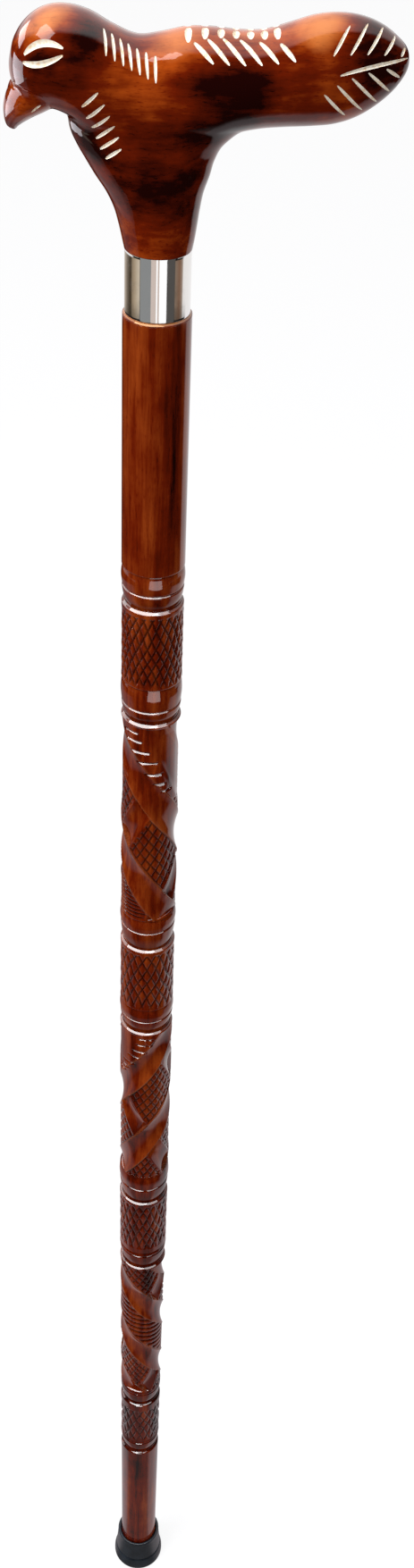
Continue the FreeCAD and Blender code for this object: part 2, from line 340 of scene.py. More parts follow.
# Notches over the wide strand of the first two braids: height, first and last bearing
# in degrees. The same strokes are cut on the far side.
notches = (
    ((647, -62, -24), (643, -57, -15), (638, -46, 1), (633, -33, 19), (627.2, -16, 27),
     (622, 4, 34), (618, 22, 50)),
    ((472.5, -20, 17), (468.5, -24, 16), (464, -34, 4), (460, -46, -12), (455, -62, -26),
     (451, -70, -40), (448, -78, -50)),
    (),
)

# Strands, the panels between them and their cuts, in mm. A panel has a plain border, and the
# cuts split the way from one strand to the next.
wide_strand = 12.5
narrow_strand = 9.5
scoop_deep = 1.6
narrow_shallower = 0.1
narrow_dive = 0.5
dive_reach = 3.0
rim_width = 0.7
rim_shine_width = 0.35
rim_far = 9
panel_sunk = 0.3
border = 0.25
border_soft = 0.5
line_border_soft = 1.6
wide_cuts = 9
narrow_cuts = 10
line_pitch = 2.1
line_half_tall = 0.8
line_deep = 0.6
notch_deep = 1.35
notch_roof = 0.4
notch_sill = 1.25
notch_soft = 4
# Painted shade in the notches, as a share of full darkness
notch_painted_shade = 0.6
band_ends = (0.4, 0.3)
band_soft = 0.5
end_ring = 0.02
tick_pitch = 3.7
tick_half_tall = 0.9
tick_deep = 0.8
tick_slant = 0.15

# Leaf-shaped hollow beside the notches. Its first edge slants back by leaf_slant degrees a mm
# from a bearing of -leaf_lead, leaf_drop mm under the band's top.
leaf_deep = 1.1
leaf_tall = 45
leaf_lead = 24
leaf_drop = 3.7
leaf_slant = 1.9
leaf_soft = 30
leaf_rise = 13
leaf_end = 120
leaf_end_soft = 45
leaf_top_soft = 5
triangle_turn = 88
triangle_tall = 40

# Runs of darker or lighter tone: bearing and half width in degrees, middle height and
# half height in mm, and strength
tone_runs = (
    (30, 17, 770, 75, -0.34), (58, 14, 770, 75, 0.10), (-12, 7, 780, 60, -0.12),
    (-35, 16, 770, 75, 0.06), (-45, 26, 600, 20, 0.22), (-5, 22, 578, 14, 0.16),
    (30, 200, 130, 55, -0.27), (40, 50, 330, 60, -0.12), (10, 60, 245, 65, -0.14),
    (-20, 200, 45, 45, -0.06), (-20, 45, 770, 75, 0.08), (0, 70, 509, 22, 0.10),
)
# Painted light: how much lighter the lower half of each wide strand is, where it faces up to the light
painted_strand_light = 0.22

# Rows of the mesh: extra ones fine_pitch apart within fine_reach of each turned corner
fine_pitch = 0.25
fine_reach = 0.9
least_step = 0.06


def taper(z):
    """Radius of the plain shaft: straight, then tapering evenly to the foot."""
    share = np.clip((taper_top_z - z) / (taper_top_z - taper_foot_z), 0, 1)
    return shaft_radius - (shaft_radius - foot_radius) * share


def turned_depth():
    """Corners (height, depth, round) of every bead and waist, with the seams, hatched bands
    and braids."""
    corners, seams, hatches, carved = [(spigot_top, 0, 0)], [], [], []
    height = shoulder_z - grip_tall
    for number, (bead, waist) in enumerate(zip(bead_lengths, waist_lengths)):
        step = height - bead
        floor = step - waist + waist_flank
        corners += [(height + up, deep, size) for up, deep, size in line_over_bead]
        corners.append((height - bead / 2, -bead_crown * min(bead / full_bead, 1), bead_round))
        corners += [(step + up, deep, size) for up, deep, size in line_under_bead]
        corners.append((step - waist * waist_shallow_share, waist_shallow_deep, waist_shallow_round))
        corners += [(floor + up, deep, size) for up, deep, size in waist_floor]
        corners.append((step - waist, waist_lip_deep, waist_lip_round))
        if number < window_beads:
            seams.append(height)
        seams.append(floor + seam_up)
        height = step - waist
        if number % 2 == 0:
            hatches.append((height, height - hatch_lengths[number // 2]))
            height -= hatch_lengths[number // 2]
        elif number // 2 < len(braid_lengths):
            carved.append((height, height - braid_lengths[number // 2]))
            height -= braid_lengths[number // 2]
    corners.append((foot_z, 0, 0))
    return rounded(corners)[::-1], seams, hatches, carved


def groove(distance, half_width, deep):
    """A V-groove with a slightly rounded bottom: deep at distance 0, none past half_width."""
    share = np.clip(1 - np.abs(distance) / half_width, 0, 1)
    return deep * share * (1 + groove_round - groove_round * share)


def to_line(phase):
    """Signed distance to the nearest whole number."""
    return phase - np.round(phase)


def swayed(angle, z, waves):
    """Sum of slow waves round and along the stick."""
    return sum(size * np.sin(times * angle + z / pitch) for size, times, pitch in waves)


def hatch_depth(angle, z, band, lines, plain):
    """Two families of helical V-grooves that cross in tall diamonds, each slightly crowned."""
    top, low = band
    radius = taper(z)
    spacing = 2 * np.pi * radius / lines
    pitch = spacing / math.tan(hatch_lean)
    sway = swayed(angle, z, hatch_sway)
    turns = lines * angle / (2 * np.pi)
    across = spacing * math.cos(hatch_lean)
    one = np.abs(to_line(turns + z / pitch + sway)) * across
    two = np.abs(to_line(turns - z / pitch - sway * back_sway_share)) * across
    near = np.minimum(one, two)
    first_wear, second_wear = (swayed(angle, z, waves) for waves in hatch_wear)
    worn = hatch_least_worn + hatch_more_worn * first_wear * second_wear
    cut = np.maximum(groove(one, hatch_half_width, hatch_deep), groove(two, hatch_half_width, hatch_deep))
    slope = hatch_crown * (1 - np.clip(near / (across / 2), 0, 1)) ** 1.5
    fade = np.clip((top - plain[0] - z) / hatch_fades[0], 0, 1)
    fade = fade * np.clip((z - low - plain[1]) / hatch_fades[1], 0, 1)
    # The second value is painted shade: the grooves darkened by their depth
    return (cut * worn + slope) * fade, np.clip(cut / hatch_deep, 0, 1) * fade


def notch_depth(angle, z, strokes):
    """Level chisel strokes: a steep roof over a sloping sill, faded at both ends. They repeat half
    a turn on."""
    depth = np.zeros_like(z)
    degrees = np.degrees(angle)
    for height, first, last in strokes:
        above = z - height
        wall = np.clip(np.minimum(1 - above / notch_roof, 1 + above / notch_sill), 0, 1) * notch_deep
        for far in (0, 180):
            turn = (degrees - far + 180) % 360 - 180
            reach = np.clip(np.minimum(turn - first, last - turn) / notch_soft, 0, 1)
            depth = np.maximum(depth, wall * reach ** 0.5)
    return depth


def leaf_depth(angle, z, top, edge_height, climb):
    """The smooth hollow beside the notches, and where it is: the triangle over the wide strand's edge.

    The hollow starts on a slanting line behind the notches, runs on round the stick
    and shallows towards the strand's edge and the band above.
    """
    depth = np.zeros_like(z)
    triangle = np.zeros(z.shape, bool)
    for far in (0, 180):
        turn = ((np.degrees(angle) - far + 180) % 360 - 180) * np.sign(-climb)
        above = z - edge_height + abs(climb) * turn / 360
        start = np.clip((turn + leaf_lead - (top - leaf_drop - z) * leaf_slant) / leaf_soft, 0, 1)
        rise = np.clip(above / leaf_rise, 0, 1)
        share = rise ** 2 * (3 - 2 * rise) * np.clip((leaf_end - turn) / leaf_end_soft, 0, 1)
        share = share * np.clip((top - z) / leaf_top_soft, 0, 1) ** 0.5
        hollow = leaf_deep * start ** 2 * (3 - 2 * start) * share * (np.abs(turn) < leaf_end)
        depth = np.maximum(depth, hollow)
        triangle |= ((above > 0) & (above < abs(climb) / 2) & (np.abs(turn) < triangle_turn)
                     & (z > top - triangle_tall))
    return depth, triangle


def braid_depth(angle, z, band, braid, strokes):
    """Wide scoops wind one way over narrow ones that wind the other; the panels between are cut
    with lines.

    The phases count half turns away from a strand's centre line, so a whole number
    is the middle of a strand, and a scoop is a parabola across it.
    """
    top, low = band
    rises, wide_turn, wide_front, narrow_turn, narrow_front, lens = braid
    way = 1 if rises else -1
    turns = angle / (2 * np.pi)
    around = 2 * np.pi * taper((top + low) / 2)
    wave = swayed(angle, z, braid_sway)
    wide = (z + wave - wide_front - way * wide_turn * turns) / (wide_turn / 2)
    narrow = (z - wave - narrow_front + way * narrow_turn * turns) / (narrow_turn / 2)
    wide_lean = around / math.hypot(around, wide_turn)
    narrow_lean = around / math.hypot(around, narrow_turn)
    from_wide = np.abs(to_line(wide)) * wide_turn / 2 * wide_lean
    from_narrow = np.abs(to_line(narrow)) * narrow_turn / 2 * narrow_lean
    half_wide = wide_strand / 2
    half_narrow = narrow_strand / 2
    gap = np.floor(wide)
    closed = (gap == -1) & lens
    edge_height = wide_front + half_wide / wide_lean
    leaf, triangle = leaf_depth(angle, z, top, edge_height, way * wide_turn)
    triangle &= (from_wide > half_wide) & bool(strokes)

    scoop_wide = scoop_deep * (1 - (from_wide / half_wide) ** 2)
    dive = narrow_dive * np.clip(1 - (from_wide - half_wide) / dive_reach, 0, 1)
    scoop_narrow = (scoop_deep - narrow_shallower) * (1 - (from_narrow / half_narrow) ** 2) + dive
    in_wide = from_wide < half_wide
    in_narrow = (from_narrow < half_narrow) & ~in_wide & ~closed & ~triangle

    rim = np.minimum(from_wide - half_wide, np.where(closed, half_wide, from_narrow - half_narrow))
    sunk = panel_sunk * np.clip(rim / rim_width, 0, 1)
    across_wide = to_line(wide * wide_cuts) * wide_turn / (2 * wide_cuts) * wide_lean
    across_narrow = to_line(narrow * narrow_cuts) * narrow_turn / (2 * narrow_cuts) * narrow_lean
    wide_lines = groove(across_wide, hatch_half_width, hatch_deep)
    narrow_lines = groove(across_narrow, hatch_half_width, hatch_deep)
    inside = np.clip((rim - border) / border_soft, 0, 1)
    hatched = np.maximum(wide_lines, narrow_lines) * inside

    slant = tick_slant * angle * around / (2 * np.pi)
    ticks = groove(to_line((z + slant) / tick_pitch) * tick_pitch, tick_half_tall, tick_deep) * inside
    lined = groove(to_line(z / line_pitch) * line_pitch, line_half_tall, line_deep)
    lined = lined * np.clip((rim - border) / line_border_soft, 0, 1)
    panel_cut = np.where((gap == -2) & (not lens) & (not rises), lined, hatched)
    panel_cut = np.where(triangle, 0, np.where(closed, ticks, panel_cut))
    depth = np.where(in_wide, scoop_wide, np.where(in_narrow, scoop_narrow, sunk + panel_cut))
    # Painted shade: the panel cuts darkened by their depth, and the notches after them
    painted_cut_shade = np.where(in_wide | in_narrow, 0, np.clip(panel_cut / hatch_deep, 0, 1))
    cut = notch_depth(angle, z, strokes)
    if strokes and not rises:
        depth = np.maximum(depth, np.where(z > top - leaf_tall, leaf, 0))
    depth = np.maximum(depth, cut)
    # Painted light: the lower half of each wide strand, which faces up to the light, is painted lighter
    lit = np.where(in_wide, np.clip(-to_line(wide) * wide_turn / 2 * wide_lean / half_wide, 0, 1), 0)
    painted_cut_shade = np.maximum(painted_cut_shade, notch_painted_shade * cut / notch_deep)
    from_rim = np.minimum(np.abs(from_wide - half_wide), rim_far)
    # Painted highlight: a paler line along each wide strand's rim
    edge = np.exp(-(from_rim / rim_shine_width) ** 2)
    fade = np.clip((top - band_ends[0] - z) / band_soft, 0, 1)
    fade = fade * np.clip((z - low - band_ends[1]) / band_soft, 0, 1)
    return depth * fade, painted_cut_shade * fade, edge * fade, lit * fade


def tone_runs_at(angle, z):
    """Sum of the runs of tone: each fades as a bell round the stick and a flatter bell along it."""
    stain = np.zeros_like(z)
    for bearing, half_turn, middle, half_tall, strength in tone_runs:
        turn = (np.degrees(angle) - bearing + 180) % 360 - 180
        stain += strength * np.exp(-(turn / half_turn) ** 2 - np.abs((z - middle) / half_tall) ** 4)
    return stain


def shaft_stretch(name, high, low, columns, pitch, bands):
    """A closed length of the shaft: plain taper less the turned depth less the carved depth."""
    profile, seams, hatches, carved = bands
    corner_z = profile[:, 0]
    fine = np.arange(low, high, fine_pitch)
    fine = fine[np.abs(fine[:, None] - corner_z[1:-1]).min(1) < fine_reach]
    turned_z = corner_z[(corner_z > low) & (corner_z < high)]
    z = np.unique(np.round(np.concatenate([np.arange(low, high, pitch), [high], fine, turned_z]), 3))
    z = z[np.append(True, np.diff(z) > least_step)]
    z[-1] = high
    z = np.concatenate([[low, low + end_ring], z[1:-1], [high - end_ring, high]])
    angle = np.linspace(-np.pi, np.pi, columns, endpoint=False)
    angle, z = np.meshgrid(angle, z)
    depth = np.interp(z, corner_z, profile[:, 1])
    # Painted shade: the turned waists and grooves darken with their depth, the hatched and carved cuts with
    # theirs
    painted_cut_shade = np.clip(depth / waist_deep, 0, 1) * turned_painted_shade
    edge = np.zeros_like(depth)
    for band, lines, plain in zip(hatches, hatch_lines, hatch_plain):
        rows = (z[:, 0] < band[0]) & (z[:, 0] > band[1])
        if rows.any():
            cut, dark = hatch_depth(angle[rows], z[rows], band, lines, plain)
            depth[rows] += cut
            painted_cut_shade[rows] = np.maximum(painted_cut_shade[rows], dark)
    stain = tone_runs_at(angle, z)
    for band, braid, strokes in zip(carved, braids, notches):
        rows = (z[:, 0] < band[0]) & (z[:, 0] > band[1])
        if rows.any():
            cut, dark, bright, lit = braid_depth(angle[rows], z[rows], band, braid, strokes)
            # The stain field also carries this painted light
            stain[rows] += painted_strand_light * lit
            depth[rows] += cut
            painted_cut_shade[rows] = np.maximum(painted_cut_shade[rows], dark)
            edge[rows] = bright
    r = taper(z) - depth
    grid = np.stack([r * np.sin(angle), -r * np.cos(angle), z], -1)
    return skin(name, grid, {"painted_cut_shade": painted_cut_shade, "edge": edge, "stain": stain})


def grain_group():
    """Stained hardwood seen through varnish: long streaks, soft mottling and short dark pores.

    Object coordinates are squeezed along the grain, so each noise draws out into
    streaks. The tone picks a colour from dark to light.
    """
    group = bpy.data.node_groups.new("stained grain", "ShaderNodeTree")
    for label, kind in (("Dark", "Color"), ("Middle", "Color"), ("Light", "Color"), ("Streak", "Float"),
                        ("Mottle", "Float"), ("Shift", "Float"), ("Stretch", "Vector"),
                        ("Pore stretch", "Vector")):
        group.interface.new_socket(label, in_out="INPUT", socket_type="NodeSocket" + kind)
    for label, kind in (("Color", "Color"), ("Height", "Float"), ("Tone", "Float")):
        group.interface.new_socket(label, in_out="OUTPUT", socket_type="NodeSocket" + kind)
    given = group.nodes.new("NodeGroupInput").outputs
    place = add(group, "TexCoord").outputs["Object"]
    drawn = add(group, "Mapping", {"Vector": place, "Scale": given["Stretch"]}).outputs[0]
    short = add(group, "Mapping", {"Vector": place, "Scale": given["Pore stretch"]}).outputs[0]
    streak = noise(group, drawn, 420.0, 6.0, 0.6)
    broad = noise(group, drawn, 130.0, 3.0)
    mottle = noise(group, place, 75.0, 4.0, 0.55)
    pores = noise(group, short, 1900.0, 1.0)
    centred = maths(group, "ADD", maths(group, "ADD", streak, broad), -1.0)
    streaked = maths(group, "MULTIPLY", centred, given["Streak"])
    clouded = maths(group, "MULTIPLY", maths(group, "ADD", mottle, -0.5), given["Mottle"])
    shifted = maths(group, "ADD", maths(group, "ADD", streaked, clouded), given["Shift"])
    pore = spread(group, pores, (0.60, 0.74), (0.0, 0.16))
    tone = maths(group, "SUBTRACT", shifted, pore, use_clamp=True)
    colour = mixed(group, spread(group, tone, (0.0, 0.5)), given["Dark"], given["Middle"])
    colour = mixed(group, spread(group, tone, (0.5, 1.0)), colour, given["Light"])
    out = group.nodes.new("NodeGroupOutput")
    for label, value in (("Color", colour), ("Height", pores), ("Tone", tone)):
        group.links.new(value, out.inputs[label])
    return group


stained_grain = grain_group()
near_black = (0.013, 0.0010, 0.0005, 1)
deep_red_brown = (0.145, 0.0105, 0.0008, 1)
warm_orange = (0.460, 0.0740, 0.0060, 1)
pale_amber = (0.740, 0.2500, 0.0650, 1)
copper_brown = (0.300, 0.0480, 0.0060, 1)
# Colour of the painted shade in the cuts
painted_shade_colour = (0.010, 0.002, 0.001, 1)
# Colour of the painted highlight along the ridges, also of the shoulder's worn and highlit edge
ridge_highlight_and_wear = (0.55, 0.22, 0.08, 1)


def varnished(tree, colour, normal):
    """Coloured wood under a thick clear varnish."""
    return add(tree, "BsdfPrincipled", {
        "Base Color": colour, "Roughness": 0.5, "Specular IOR Level": 0.0, "Coat Weight": 1.0,
        "Coat Roughness": 0.05, "Coat IOR": 1.5, "Normal": normal,
    })


def shaft_shader(tree):
    """Stained grain, with painted shade that darkens it in the cuts and a painted highlight that makes it
    paler along the ridges; on the shoulder's top edge that paler colour is worn varnish in part.
    """
    stain, painted_cut_shade, edge = (add(tree, "Attribute", attribute_name=field).outputs["Fac"]
                           for field in ("stain", "painted_cut_shade", "edge"))
    wood = add(tree, "Group", {
        "Dark": near_black, "Middle": deep_red_brown, "Light": copper_brown,
        "Streak": 1.5, "Mottle": 0.8, "Shift": maths(tree, "ADD", stain, 0.58),
        "Stretch": (1.0, 1.0, 0.06), "Pore stretch": (1.0, 1.0, 0.16),
    }, node_tree=stained_grain).outputs
    # Painted shade in the cuts
    darker = mixed(tree, maths(tree, "MULTIPLY", painted_cut_shade, 0.82), wood["Color"], painted_shade_colour)
    # Painted highlight along the ridges; on the shoulder's edge, worn varnish and painted highlight together
    paler = mixed(tree, maths(tree, "MULTIPLY", edge, 0.16), darker, ridge_highlight_and_wear)
    return varnished(tree, paler, relief(tree, wood["Height"], 0.10, 0.05))


def bare_shader(tree):
    """Pale cream wood without stain, as on the spigots and in the gouge cuts, a little darker
    along its fibres."""
    fibre = noise(tree, add(tree, "TexCoord").outputs["Object"], 900.0, 3.0)
    return add(tree, "BsdfPrincipled", {
        "Base Color": ramp(tree, fibre, ((0.3, (0.88, 0.66, 0.43)), (0.55, (1.00, 0.95, 0.85)))),
        "Roughness": 0.5, "Normal": relief(tree, fibre, 0.3, 0.05),
    })


bare_wood = finish("bare cut wood", bare_shader)
shaft_wood = finish("varnished shaft wood", shaft_shader)
bands = turned_depth()
seams = bands[1]
names = ("grip", "bead_1", "hatch_1", "bead_2", "braid_1", "hatch_2", "braid_2", "hatch_3", "braid_3",
         "hatch_4", "foot")
ends = [shoulder_z - shoulder_edge - shoulder_wall] + seams + [foot_z + foot_edge]
# Columns round the shaft and mm between rows
meshing = {"grip": (180, 0.6), "bead": (236, 0.31), "hatch": (288, 0.27), "braid": (220, 0.34),
           "foot": (160, 0.6)}
shaft_pieces = []
for name, high, low in zip(names, ends[:-1], ends[1:]):
    columns, pitch = meshing[name.split("_")[0]]
    stretch = shaft_stretch("shaft_" + name, high, low, columns, pitch, bands)
    stretch.data.materials.append(shaft_wood)
    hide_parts("shaft")
    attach(stretch, "shaft")
    shaft_pieces.append(stretch)

shoulder_low = ends[0]
stud_bore = 4.0
stud_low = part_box("joint_stud")[0].z / mm
shoulder_columns = 180
# The shoulder's top edge is painted paler: worn varnish in part, a painted highlight in part
worn_and_highlit_from = 0.5
worn_and_highlight_pale = 5.0
bare_spigot = skin("shaft_spigot", turned(rounded([
    (stud_bore, stud_low, 0), (stud_bore, spigot_top, 0.3), (spigot_radius, spigot_top, 0.5),
    (spigot_radius, shoulder_z - 0.2, 0),
])[::-1], shoulder_columns))
bare_spigot.data.materials.append(bare_wood)
shoulder_rings = turned(rounded([
    (spigot_radius - 0.2, shoulder_z - 0.05, 0), (shaft_radius - shoulder_edge, shoulder_z - 0.05, 0.25),
    (shaft_radius, shoulder_z - shoulder_edge, 0.3), (shaft_radius, shoulder_low + end_ring, 0),
    (shaft_radius, shoulder_low, 0),
])[::-1], shoulder_columns)
shoulder_height = shoulder_rings[..., 2]
shoulder_tone = tone_runs_at(np.arctan2(shoulder_rings[..., 0], -shoulder_rings[..., 1]), shoulder_height)
worn_and_highlit_edge = np.where(shoulder_height > shoulder_z - worn_and_highlit_from, worn_and_highlight_pale, 0.0)
shoulder = skin("shaft_shoulder", shoulder_rings, {"stain": shoulder_tone, "edge": worn_and_highlit_edge})
shoulder.data.materials.append(shaft_wood)
for piece in (bare_spigot, shoulder):
    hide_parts("shaft")
    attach(piece, "shaft")

# Screw joint
# A steel hanger bolt glued in the shaft and a threaded bush pressed in the handle.
for name in ("joint_stud", "handle_insert"):
    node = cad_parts[name]
    node.data.materials.clear()
    node.data.materials.append(steel)

# Chromed collar
# A rolled tube, chromed and polished, that hides the joint. Its seam faces the front.
collar_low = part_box("collar")[0].z / mm
collar_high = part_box("collar")[1].z / mm
collar_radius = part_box("collar")[1].x / mm
collar_bore = 10.3
collar_round = 0.35
collar_columns = 240
seam_half_width = 0.22
seam_deep = 0.12
collar_inside = 0.6
wall_margin = 1
wall_rows = 24


def chrome_shader(tree):
    """Polished chrome with faint wiping marks."""
    haze = noise(tree, add(tree, "TexCoord").outputs["Object"], 190.0, 6.0, 0.65)
    return add(tree, "BsdfPrincipled", {
        "Base Color": ramp(tree, haze, ((0, (0.80, 0.80, 0.81)), (1, (0.88, 0.87, 0.86)))),
        "Metallic": 1.0, "Roughness": spread(tree, haze, (0.35, 0.75), (0.03, 0.13)),
    })


collar_profile = rounded([
    (collar_bore, collar_low + collar_inside, 0), (collar_bore, collar_low, collar_round),
    (collar_radius, collar_low, collar_round), (collar_radius, collar_high, collar_round),
    (collar_bore, collar_high, collar_round), (collar_bore, collar_high - collar_inside, 0),
], arc_steps=5)
wall = np.linspace(collar_low + wall_margin, collar_high - wall_margin, wall_rows)
rise = np.stack([np.full(wall_rows, collar_radius), wall], -1)
split = int(np.argmax(collar_profile[:, 1] > collar_high - wall_margin))
collar_profile = np.concatenate([collar_profile[:split], rise, collar_profile[split:], collar_profile[:1]])
rings = turned(collar_profile, collar_columns)
around = np.arctan2(rings[..., 0], -rings[..., 1])
dent = groove(around * collar_radius, seam_half_width, seam_deep)
rings[..., :2] *= (1 - dent / collar_radius)[..., None]
collar = skin("chromed_collar", rings)
collar.data.materials.append(finish("polished chrome", chrome_shader))
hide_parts("collar")
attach(collar, "collar")

# Handle
# A bird carved from one block: head, hooked beak, back and leaf-shaped tail, with a neck
# that flares from the collar. Stained in sprayed patches and varnished.
handle_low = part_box("handle")[0].z / mm
handle_gap = 0.05
handle_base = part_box("collar")[1].z / mm + handle_gap
handle_rise = 76.0
handle_length = 125.6
handle_thick = 31.0
face_x = -48.2
neck_base = 23.0
beak_reach = 48.2
beak_thick = 23.0

# Body from face to tail: place along the length, underside and top as shares of
# the rise, thickness as a share
body_shares = np.array([
    (0.006, 0.738, 0.772, 0.00),
    (0.010, 0.708, 0.806, 0.26),
    (0.016, 0.680, 0.845, 0.42),
    (0.026, 0.640, 0.881, 0.58),
    (0.048, 0.600, 0.930, 0.78),
    (0.080, 0.592, 0.971, 0.91),
    (0.118, 0.588, 0.992, 0.98),
    (0.158, 0.560, 0.993, 1.00),
    (0.205, 0.498, 0.974, 0.98),
    (0.262, 0.445, 0.925, 0.94),
    (0.325, 0.430, 0.886, 0.93),
    (0.385, 0.430, 0.898, 0.96),
    (0.445, 0.436, 0.920, 0.98),
    (0.508, 0.462, 0.922, 0.98),
    (0.572, 0.507, 0.913, 0.96),
    (0.635, 0.530, 0.916, 0.93),
    (0.700, 0.539, 0.948, 0.88),
    (0.763, 0.544, 0.982, 0.82),
    (0.825, 0.556, 0.993, 0.76),
    (0.880, 0.588, 0.982, 0.68),
    (0.930, 0.642, 0.950, 0.57),
    (0.970, 0.706, 0.903, 0.42),
    (0.994, 0.768, 0.858, 0.22),
    (1.000, 0.795, 0.830, 0.00),
])

# Neck from the collar up: height as a share of the rise, reach to the front and
# to the back and thickness as shares of the base
neck_shares = np.array([
    (0.000, 0.500, 0.500, 1.000),
    (0.050, 0.537, 0.530, 1.010),
    (0.110, 0.583, 0.558, 1.040),
    (0.180, 0.650, 0.590, 1.090),
    (0.250, 0.760, 0.633, 1.150),
    (0.325, 0.925, 0.715, 1.200),
    (0.390, 1.055, 0.775, 1.210),
    (0.450, 1.170, 0.880, 1.200),
    (0.500, 1.245, 1.050, 1.170),
    (0.560, 1.275, 1.240, 1.120),
    (0.620, 1.210, 1.380, 1.020),
    (0.700, 1.000, 1.050, 0.850),
    (0.780, 0.400, 0.450, 0.000),
])

# Beak from its tip up: height as a share of the rise, front and back edges as
# shares of its reach, thickness as a share
beak_shares = np.array([
    (0.494, 0.980, 0.950, 0.00),
    (0.507, 1.006, 0.935, 0.21),
    (0.533, 1.025, 0.880, 0.39),
    (0.560, 1.031, 0.808, 0.56),
    (0.587, 1.031, 0.722, 0.71),
    (0.620, 1.022, 0.630, 0.85),
    (0.655, 1.004, 0.560, 0.95),
    (0.700, 0.965, 0.520, 1.00),
    (0.750, 0.900, 0.500, 0.00),
])
neck_blend = 2.2
beak_blend = 0.4

# What brings each part's field near to a distance in mm
body_slope, neck_slope, beak_slope = 28, 26, 16
slimmest, flattest = 0.3, 4
least_slope = 0.05
longest_step = 0.6


def through(x, knots, values):
    """A smooth curve through given stations: cubic pieces whose slopes come from their neighbours."""
    slopes = np.gradient(values, knots)
    i = np.clip(np.searchsorted(knots, x) - 1, 0, len(knots) - 2)
    width = knots[i + 1] - knots[i]
    held = np.clip(x, knots[0], knots[-1])
    t = (held - knots[i]) / width
    start = (2 * t ** 3 - 3 * t ** 2 + 1) * values[i] + width * (t ** 3 - 2 * t ** 2 + t) * slopes[i]
    end = (3 * t ** 2 - 2 * t ** 3) * values[i + 1] + width * (t ** 3 - t ** 2) * slopes[i + 1]
    return start + end + np.where(x < knots[0], slopes[0], slopes[-1]) * (x - held)


def ovals():
    """Stations of body, neck and beak as columns: place, centre, half length and half thickness in mm."""
    place, low, high, thick = body_shares.T
    half = np.where(thick > 0, (high - low) / 2, 0) * handle_rise
    middle = handle_base + (low + high) / 2 * handle_rise
    body = (face_x + place * handle_length, middle, half, thick * handle_thick / 2)
    place, front, back, thick = neck_shares.T
    half = np.where(thick > 0, (front + back) / 2, 0) * neck_base
    middle = (back - front) / 2 * neck_base
    neck = (handle_base + place * handle_rise, middle, half, thick * neck_base / 2)
    place, front, back, thick = beak_shares.T
    half = np.where(thick > 0, (front - back) / 2, 0) * beak_reach
    middle = -(front + back) / 2 * beak_reach
    beak = (handle_base + place * handle_rise, middle, half, thick * beak_thick / 2)
    return body, neck, beak


body_ovals, neck_ovals, beak_ovals = ovals()


def oval_field(along, up, across, stations):
    """Zero on the skin of stacked ovals: the two offsets squared and weighed by the oval's
    proportion, less the product of its half axes, which falls evenly to zero at a round end."""
    place, centre, half_up, half_across = stations
    solid = half_across > 0
    ratio = np.interp(place, place[solid], half_up[solid] / half_across[solid])
    ratio = np.clip(through(along, place, ratio), slimmest, flattest)
    area = through(along, place, half_up * half_across)
    return (up - through(along, place, centre)) ** 2 / ratio + across ** 2 * ratio - area


def smooth_least(a, b, blend):
    """The smaller of two fields, rounded where they come within blend of each other."""
    near = np.maximum(blend - np.abs(a - b), 0) / blend
    return np.minimum(a, b) - near ** 2 * blend / 4


def bird(points):
    """Zero on the handle's skin, negative in the wood, near its distance in mm outside."""
    x, y, z = points[..., 0], points[..., 1], points[..., 2]
    body = oval_field(x, z, y, body_ovals) / body_slope
    neck = oval_field(z, x, y, neck_ovals) / neck_slope
    beak = oval_field(z, x, y, beak_ovals) / beak_slope
    return smooth_least(smooth_least(body, neck, neck_blend), beak, beak_blend)


def uphill(points):
    """Slope of the bird's field by differences."""
    reach = 0.02
    return np.stack([(bird(points + d) - bird(points - d)) / (2 * reach) for d in reach * np.eye(3)], -1)


def to_skin(points, rounds=8):
    """Points moved straight onto the bird's skin by Newton steps along the slope."""
    for _ in range(rounds):
        slope = uphill(points)
        size = (slope ** 2).sum(-1)
        move = bird(points)[..., None] * slope / np.maximum(size, least_slope)[..., None]
        length = np.linalg.norm(move, axis=-1, keepdims=True)
        points = points - move * np.minimum(1, longest_step / np.maximum(length, 1e-9))
    return points


def oval_rings(stations, upright, steps=60, columns=96):
    """Rings round stacked ovals, for the rough block."""
    place, centre, half_up, half_across = stations
    along = np.linspace(place[0], place[-1], steps)[:, None]
    angle = np.linspace(0, 2 * np.pi, columns, endpoint=False)
    up = np.interp(along, place, centre) + np.interp(along, place, half_up) * np.cos(angle)
    across = np.interp(along, place, half_across) * np.sin(angle)
    along = along + 0 * angle
    if upright:
        return np.stack([up, across, along], -1)
    return np.stack([along, -across, up], -1)


def plain_copy(name, source):
    """The mesh of an object with its modifiers applied, in a new object."""
    shown = source.evaluated_get(bpy.context.evaluated_depsgraph_get())
    mesh = bpy.data.meshes.new_from_object(shown)
    mesh.name = name
    piece = put(name, mesh)
    bpy.data.objects.remove(source)
    return piece


voxel = 0.62
block_low = handle_base - 4
block_plain = handle_base - 3
foot_profile = np.array([(neck_base / 2, block_low), (neck_base / 2, handle_base + 1)])
block_parts = [
    skin("block_body", oval_rings(body_ovals, False)),
    skin("block_neck", oval_rings(neck_ovals, True)),
    skin("block_beak", oval_rings(beak_ovals, True)),
    skin("block_foot", turned(foot_profile, 96)),
]
with bpy.context.temp_override(active_object=block_parts[0], selected_editable_objects=block_parts):
    bpy.ops.object.join()
block = block_parts[0]
remesh = block.modifiers.new("remesh", "REMESH")
remesh.mode = "VOXEL"
remesh.voxel_size = voxel * mm
remesh.use_smooth_shade = True
bird_block = plain_copy("bird_block", block)
co = np.empty(len(bird_block.data.vertices) * 3, np.float32)
bird_block.data.vertices.foreach_get("co", co)
co = co.reshape(-1, 3).astype(float) / mm
co = np.where(co[:, 2:] > block_plain, to_skin(co), co)
bird_block.data.vertices.foreach_set("co", (co * mm).astype(np.float32).ravel())
bird_block.data.update()

